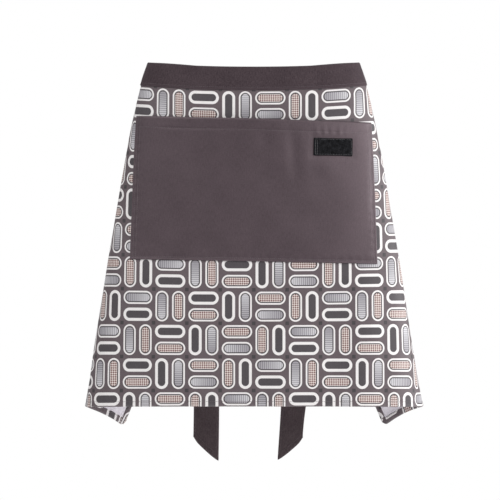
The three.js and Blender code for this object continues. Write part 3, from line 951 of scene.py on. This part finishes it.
def makeSkirt():
    hem, away, ramp = skirt["hemWidth"], skirt["stitchFromEdge"], 1.5
    hemReach = reachAt(skirtDrop)
    rear, step = 1 - hem / hemReach, ramp / hemReach
    shares = stretches(-1.0, (-rear, 4), (-rear + step, 1), (rear - step, 216), (rear, 1), (1.0, 4))
    hemTop = skirtDrop - hem
    drops = stretches(-skirt["tuck"], (0.0, 3), (hemTop - ramp, 112), (hemTop, 1), (skirtDrop, 6))
    drop, share = np.meshgrid(drops, shares, indexing="ij")
    share, drop = roundCorners(share, drop)
    outer = offCloth(share, drop, skirtRelief(share, drop))
    inLower, inRear = drop > hemTop - 0.1, np.abs(share) > rear - 1e-6
    inHem = (inLower | inRear) & (drop > 0)
    inner = outer - gridNormal(outer) * np.where(inHem, skirt["hemThickness"], clothThickness)[..., None]
    # the turned strips show the print from beyond the fold
    reach = reachAt(drop)
    run = share * reach
    pastHem = np.where(inLower, 2 * skirtDrop - drop, drop)
    pastRear = np.where(inRear, np.sign(share) * 2 * reach - run, run)
    inStrip = inHem[1:, 1:] & inHem[:-1, :-1] & inHem[1:, :-1] & inHem[:-1, 1:]
    edge = np.minimum(skirtDrop - drop, (1 - np.abs(share)) * reach)
    piece = addSheet("skirt_cloth", outer, inner, (run, -drop), [printedCloth, reverseCloth], edge,
                     (pastRear, -pastHem), np.where(inStrip, 0, 1))
    line = np.linspace(-1, 1, 700)
    down = np.linspace(skirt["seamFrom"], skirtDrop - away, 400)
    lines = []

    def sewn(share, drop):  # the thread shows on both faces
        row, column = stationAt(drop, drops), stationAt(share, shares)
        points, normals = onGrid(inner, row, column)
        lines.extend([onGrid(outer, row, column), (points, -normals)])

    sewn(line * (1 - away / hemReach), skirtDrop - away)
    for side in (-1, 1):
        sewn(side * (1 - away / reachAt(down)), down)
    stitching = addStitching("skirt_stitching", lines, mauveThread)
    keepSheet(piece, "skirt")
    print("skirt hung:", len(piece.data.polygons), "faces")


# waistband: one strip folded lengthwise over the skirt's upper edge
waistband = {
    "flat": (0.692, 0.072),  # cut size in metres
    "thickness": 1.0,
    "gap": 0.45,  # on each side of the skirt's edge
    "overrun": 11.0,  # past the skirt's rear edges
    "stitchUp": 3.5,  # stitches above the lower edge
    "endStitch": 3.0,
    "foldSteps": 10,
    "sideSteps": 14,
    "swell": (0.22, 90.0, 30.0),  # height, size, up to this far above the lower edge
    "pucker": (0.16, 6.0, 4.0, 11.0),  # depth, above the lower edge, half width, pitch
}
bandRadius = (clothThickness + 2 * waistband["gap"] + waistband["thickness"]) / 2


def bandPoint(share, turn, drop, lift):
    # turn 0 on the front leaf, pi on the inside leaf; lift from the middle of the strip
    arm = bandRadius + lift
    return offCloth(share, drop - arm * np.sin(turn), arm * np.cos(turn) - clothThickness / 2)


def bandRelief(share, turn, drop):
    run = share * waistReach
    swell, size, top = waistband["swell"]
    soft = swell * (1 + rumple(run, drop, size)) * np.sin(np.clip(-drop / top, 0, 1) * math.pi)
    depth, up, halfWidth, pitch = waistband["pucker"]
    pucker = depth * ripple(run, pitch, run, 23) * hump(drop + up, halfWidth)
    return np.where(turn < 1.5, np.maximum(soft + pucker, 0), 0)


def makeWaistband():
    half = waistband["thickness"] / 2
    end = 1 + waistband["overrun"] / waistReach
    shares = stretches(-end, (-1.0, 4), (1.0, 220), (end, 4))
    foldDrop = -wornForm["bandHeight"] + bandRadius + half
    leaf = stretches(0.0, (-6.0, 6), (foldDrop, waistband["sideSteps"]))
    fold = np.linspace(0, math.pi, waistband["foldSteps"] + 1)[1:-1]
    # rows run from the inside leaf over the fold to the front
    drops = np.concatenate([leaf, np.full(len(fold), foldDrop), leaf[::-1]])[::-1]
    turns = np.concatenate([np.zeros(len(leaf)), fold, np.full(len(leaf), math.pi)])[::-1]
    drop, share = np.meshgrid(drops, shares, indexing="ij")
    turn = np.broadcast_to(turns[:, None], drop.shape)
    outer = bandPoint(share, turn, drop, half + bandRelief(share, turn, drop))
    inner = bandPoint(share, turn, drop, -half)
    girth = runAlong(outer[:, len(shares) // 2])
    flat = share * waistReach, np.broadcast_to(girth[:, None], drop.shape)
    fromFold = np.abs(turn - 0.9)  # rubbed along the upper front edge too
    edge = np.minimum(np.abs(drop), np.where(fromFold < 0.9, 4 * fromFold, 30))
    edge = np.minimum((end - np.abs(share)) * waistReach, edge)
    piece = addSheet("waistband_cloth", outer, inner, flat, [stripCloth], edge)
    along = stationAt(np.linspace(-1, 1, 700), shares)
    up = stationAt(waistband["stitchUp"], -leaf)
    last = len(drops) - 1
    lines = [onGrid(outer, row, along) for row in (up, last - up)]
    upright = np.linspace(up, stationAt(-foldDrop - 1, -leaf), 40)
    endSeam = end - waistband["endStitch"] / waistReach
    for at in (-endSeam, endSeam):  # where the ties are sewn in
        lines.append(onGrid(outer, last - upright, stationAt(at, shares)))
    stitching = addStitching("waistband_stitching", lines, stripThread)
    keepSheet(piece, "waistband")
    print("waistband folded over:", len(piece.data.polygons), "faces")


# ties, from the band's ends through the knot, free ends hanging behind
ties = {
    "stubPlaces": (1.5, 5.0, 11.0, 18.0),
    "stubWidth": 25.0,
    "stubThickness": 1.0,
    "knotWidth": 13.0,
    "knotThickness": 4.4,
    "layerGap": 0.8,
    "mouth": 2.0,
    "runIn": 6.0,
    "crossing": (9.0, 6.3),
    "width": 38.5,
    "thickness": 1.4,
    "cut": 33.5,
    "bow": 1.18,  # slightly rounded cut
    "round": (3.5, 0.8),  # and outer corner: height, from this share of the width
    "slant": 120.0,
    "shoulder": (0.7, 0.42, 0.62, 2.0),  # x, z, width and thickness as shares of the tail's
    "behind": 15.0,
    "pleat": (1.7, 3.5),  # depth, number across
    "pleatPast": (-1.0, 7.0),  # from the knot's end: first and full
    "curl": (1.1, 90.0),  # depth, length
    "seamAt": 0.42,  # stitches, as a share of the width from the middle
    # places on the route, one unit from each point to the next
    "gatherFrom": (2.6, 4.0),
    "tailFrom": 9.0,
    "curlFrom": (9.2, 10.5),
    "leftTail": [(-75.5, -130), (-75, -320), (-73.2, -495), (-74, -585)],
    "rightTail": [(74.5, -130), (69.5, -320), (62.8, -495), (57, -585)],
}
knot = {
    "length": 28.0,
    "height": 40.0,
    "wall": 1.8,
    "corner": 5.0,
    "endGap": 0.4,  # from the middle of the wearer's side
    "endFade": 8.0,  # pleats run out towards the ends
    "lean": 0.11,
    "squeeze": 0.16,
    "crown": 1.6,
    "pleat": (1.2, 8.5, 1.6),  # depth, pitch, wander
}

waistLevel = -wornForm["bandHeight"] / 2
knotMiddle = clothPoint(girthAt(0.0) / waistReach, waistLevel)
layerStep = ties["knotThickness"] + ties["layerGap"]
knotInner = 2 * layerStep + ties["layerGap"]


def tieRoute(side, layer, tail):
    rows = []  # steps, place, way it faces, width, thickness
    for past in ties["stubPlaces"]:
        share = side * (waistReach + past) / waistReach
        facing = clothNormal(share, waistLevel)
        place = clothPoint(share, waistLevel) - facing * clothThickness / 2
        rows.append((2, place, facing, ties["stubWidth"], ties["stubThickness"]))
    behind = np.array([0.0, 1.0, 0.0])
    knotY = knotMiddle[1] + ties["layerGap"] + ties["knotThickness"] / 2 + layer * layerStep
    mouth = knot["length"] / 2 + ties["mouth"]
    inMouth = mouth - ties["runIn"]
    high, low = ties["crossing"]
    for steps, x, z in ((12, mouth, high), (5, inMouth, low), (9, -inMouth, -low), (5, -mouth, -high)):
        place = np.array([side * x, knotY, knotMiddle[2] + z])
        rows.append((steps, place, behind, ties["knotWidth"], ties["knotThickness"]))
    tailY = knotMiddle[1] + ties["behind"]
    shareX, shareZ, shareWidth, shareThickness = ties["shoulder"]
    place = np.array([shareX * tail[0][0], tailY, shareZ * tail[0][1]])
    rows.append((16, place, behind, shareWidth * ties["width"], shareThickness * ties["thickness"]))
    for i, (x, z) in enumerate(tail):
        rows.append((26 if i else 18, np.array([x, tailY, z]), behind, ties["width"], ties["thickness"]))
    return rows


def smoothRoute(points):  # a curve through the points
    ends = [2 * points[0] - points[1], *points, 2 * points[-1] - points[-2]]

    def at(place):
        i = int(min(math.floor(place), len(points) - 2))
        a, b, c, d = ends[i:i + 4]
        one, two, three = (max(np.linalg.norm(v) ** 0.5, 1e-4) for v in (b - a, c - b, d - c))
        start = ((b - a) / one - (c - a) / (one + two) + (c - b) / two) * two
        finish = ((c - b) / two - (d - b) / (two + three) + (d - c) / three) * two
        return hermite(place - i, b, c, start, finish)

    return at


def makeTie(name, side, layer, tail):
    route = tieRoute(side, layer, tail)
    line = smoothRoute([row[1] for row in route])
    places = stretches(0.0, *[(float(i), row[0]) for i, row in enumerate(route) if i])
    tailSide = math.copysign(1, tail[0][0])
    lowest = tail[-1][1]
    stations = []
    for place in places:
        i = int(min(math.floor(place), len(route) - 2))
        share = float(smoothStep(place - i, 0, 1))
        facing, width, thickness = (a + (b - a) * share for a, b in zip(route[i][2:], route[i + 1][2:]))
        way = unit(line(min(place + 0.01, len(route) - 1)) - line(max(place - 0.01, 0)))
        stations.append((line(place), way, unit(np.cross(facing, way)), width, thickness))
    middles, ways, sideways, widths, thicknesses = (np.array(values) for values in zip(*stations))
    outs = np.cross(ways, sideways)
    ahead = runAlong(middles)
    gathered = np.clip(1 - widths / ties["width"], 0, 1) * smoothStep(places, *ties["gatherFrom"])
    pleatDepth, pleatCount = ties["pleat"]
    curlDepth, curlLength = ties["curl"]
    corner, cornerFrom = ties["round"]
    knotEnd = knot["length"] / 2

    def surface(across, rows, face):  # face 1 behind, -1 in front
        middle = middles[rows]
        curl = curlDepth * np.sin(ahead[rows] / curlLength + side) * (4 * across**2 - 0.4)
        waves = np.cos(fullTurn * pleatCount * across + 0.02 * ahead[rows])
        outside = smoothStep(np.abs(middle[..., 0]) - knotEnd, *ties["pleatPast"])
        pleats = pleatDepth * gathered[rows] * outside * waves
        lift = face * thicknesses[rows] / 2 + curl * smoothStep(places[rows], *ties["curlFrom"])
        lift = (lift + pleats * (0.5 + 0.5 * face))[..., None]
        point = middle + sideways[rows] * (across * widths[rows])[..., None] + outs[rows] * lift
        slant = smoothStep(-point[..., 2], -lowest - ties["slant"], -lowest)
        outward = np.clip(tailSide * (point[..., 0] - middle[..., 0]) / ties["width"] + 0.5, 0, 1)
        rounded = corner * np.clip((outward - cornerFrom) / (1 - cornerFrom), 0, 1) ** 2
        point[..., 2] += slant * (ties["cut"] * outward ** ties["bow"] + rounded)
        return point

    row, across = np.meshgrid(np.arange(len(places)), np.linspace(-0.5, 0.5, 21), indexing="ij")
    outer, inner = (surface(across, row, face) for face in (1, -1))
    edge = np.minimum((0.5 - np.abs(across)) * widths[row], ahead[-1] - ahead[row])
    piece = addSheet(name + "_cloth", outer, inner, (across * ties["width"], -ahead[row]), [tieClothPaintedLighter], edge)
    last, seam = len(places) - 4, ties["seamAt"]
    tailRows = np.arange(int(np.searchsorted(places, ties["tailFrom"])), last)
    tip = np.linspace(-seam, seam, 24)
    seams = [(np.full(len(tailRows), at), tailRows) for at in (-seam, seam)]
    seams.append((tip, np.full(len(tip), last)))
    lines = [(surface(at, rows, face), outs[rows] * face) for face in (1, -1) for at, rows in seams]
    stitching = addStitching(name + "_stitching", lines, stripThread, thread=0.5)
    keepSheet(piece, name)
    print(name, "tied:", len(piece.data.polygons), "faces, length", round(float(ahead[-1])), "mm")


def makeKnot():
    # strip wrapped once round both ties, its ends tucked in on the wearer's side
    corner, gap = knot["corner"], knot["endGap"]
    halfX, halfY, halfZ = knot["length"] / 2, knotInner / 2 + knot["wall"], knot["height"] / 2
    arc = np.linspace(0, math.pi / 2, 9)
    path = [(-halfY, -gap)]
    for quarter, sideY, sideZ in ((2, -1, -1), (3, 1, -1), (0, 1, 1), (1, -1, 1)):
        y, z = sideY * (halfY - corner), sideZ * (halfZ - corner)
        turns = quarter * math.pi / 2 + arc
        path.extend((y + corner * math.cos(turn), z + corner * math.sin(turn)) for turn in turns)
    path = np.array([*path, (-halfY, gap)])
    run = runAlong(path)
    rounds = np.linspace(0, run[-1], 120)[:, None]
    y, z = (np.interp(rounds, run, path[:, k]) for k in (0, 1))
    normal = unit(np.hstack([np.gradient(z, axis=0), -np.gradient(y, axis=0)]))  # outwards
    normalY, normalZ = normal[:, :1], normal[:, 1:]
    onFace = np.abs(normalY)  # 1 on the broad faces, 0 above and below
    around = fullTurn * rounds / run[-1]
    across, rounds = np.broadcast_arrays(np.linspace(-halfX, halfX, 41), rounds)
    depth, pitch, wander = knot["pleat"]
    waves = 0.5 + 0.5 * np.sin(fullTurn * across / pitch + wander * np.sin(around))
    crown = knot["crown"] * np.cos(across / knot["length"] * math.pi) ** 0.6 * onFace
    ends = smoothStep(np.minimum(rounds, run[-1] - rounds), 0, knot["endFade"])
    x = across * (1 - knot["squeeze"] * np.sin(around) ** 2) + knot["lean"] * z

    def surface(lift):
        placeY = knotMiddle[1] + knotInner / 2 + y + normalY * lift
        return np.stack(np.broadcast_arrays(x, placeY, knotMiddle[2] + z + normalZ * lift), -1)

    outer = surface((depth * (0.3 + 0.7 * onFace) * waves + crown) * ends)
    inner = surface(-knot["wall"])
    piece = addSheet("tie_knot_cloth", outer, inner, (across, rounds), [tieClothPaintedLighter], halfX - np.abs(across))
    keepSheet(piece, "tie_knot")
    print("knot tied:", len(piece.data.polygons), "faces")


makePocket()
makeTape()
makeSkirt()
makeWaistband()
makeTie("tie_left", -1, 0, ties["rightTail"])  # the ties cross over in the knot
makeTie("tie_right", 1, 1, ties["leftTail"])
makeKnot()


# camera level with the apron's middle, straight in front
view = {"at": (-0.0055, -4.05, -0.258), "lens": 192.0, "sensor": 36.0}


def makeCamera():
    camera = bpy.data.cameras.new("frontCamera")
    camera.lens = view["lens"]
    camera.sensor_width = view["sensor"]
    scene.camera = setUp("frontCamera", camera, view["at"], (math.pi / 2, 0, 0))


# soft studio light: pale surround, panels from both sides and one from behind
studio = {
    "surround": 0.46,
    "floorHeight": -0.95,
    "floorRadius": 3.2,
    "floorTones": (tone(238, 237, 238), tone(245, 244, 245)),
    # name, place, aim, width, power
    "panels": [("rightPanel", (2.2, -2.0, 0.8), (0.1, 0.0, -0.25), 1.3, 32.0),
               ("sidePanel", (3.0, 0.15, 0.1), (0.2, 0.0, -0.25), 1.5, 64.0),
               ("leftPanel", (-1.9, -2.3, 2.2), (-0.1, 0.0, -0.25), 2.2, 56.0),
               ("backPanel", (0.3, 2.6, 1.3), (0.0, 0.0, -0.2), 2.0, 30.0)],
}


def makePanels():
    for name, place, aim, width, power in studio["panels"]:
        light = bpy.data.lights.new(name, "AREA")
        light.shape = "SQUARE"
        light.size = width
        light.energy = power
        setUp(name, light, place, (Vector(aim) - Vector(place)).to_track_quat("-Z", "Y").to_euler())


def makeSurround():  # white behind the apron, dimmer as a light on it
    scene.world = bpy.data.worlds.new("paleSurround")
    scene.world.use_nodes = True
    tree = scene.world.node_tree
    tree.nodes.clear()
    white = (1, 1, 1, 1)
    lit, seen = (addNode(tree, "ShaderNodeBackground", {"Color": white, "Strength": strength}).outputs[0]
                 for strength in (studio["surround"], 1.0))
    fromCamera = addNode(tree, "ShaderNodeLightPath", {}).outputs["Is Camera Ray"]
    mixed = addNode(tree, "ShaderNodeMixShader", {0: fromCamera, 1: lit, 2: seen}).outputs[0]
    addNode(tree, "ShaderNodeOutputWorld", {0: mixed})
    scene.view_settings.view_transform = "Standard"


def makeFloor():
    floor = bpy.data.meshes.new("studioFloor")
    shape = bmesh.new()
    bmesh.ops.create_circle(shape, cap_ends=True, segments=128, radius=studio["floorRadius"])
    shape.to_mesh(floor)
    shape.free()
    material, tree = startMaterial("floorPaper")
    color = mixTone(tree, noiseAt(tree, objectPlace(tree), 3.0), *studio["floorTones"])
    finishMaterial(tree, color, 0.9, Specular_IOR_Level=0.1)
    floor.materials.append(material)
    setUp("studioFloor", floor, (0, 0, studio["floorHeight"]))


makeCamera()
makePanels()
makeSurround()
makeFloor()
print("camera and studio ready")
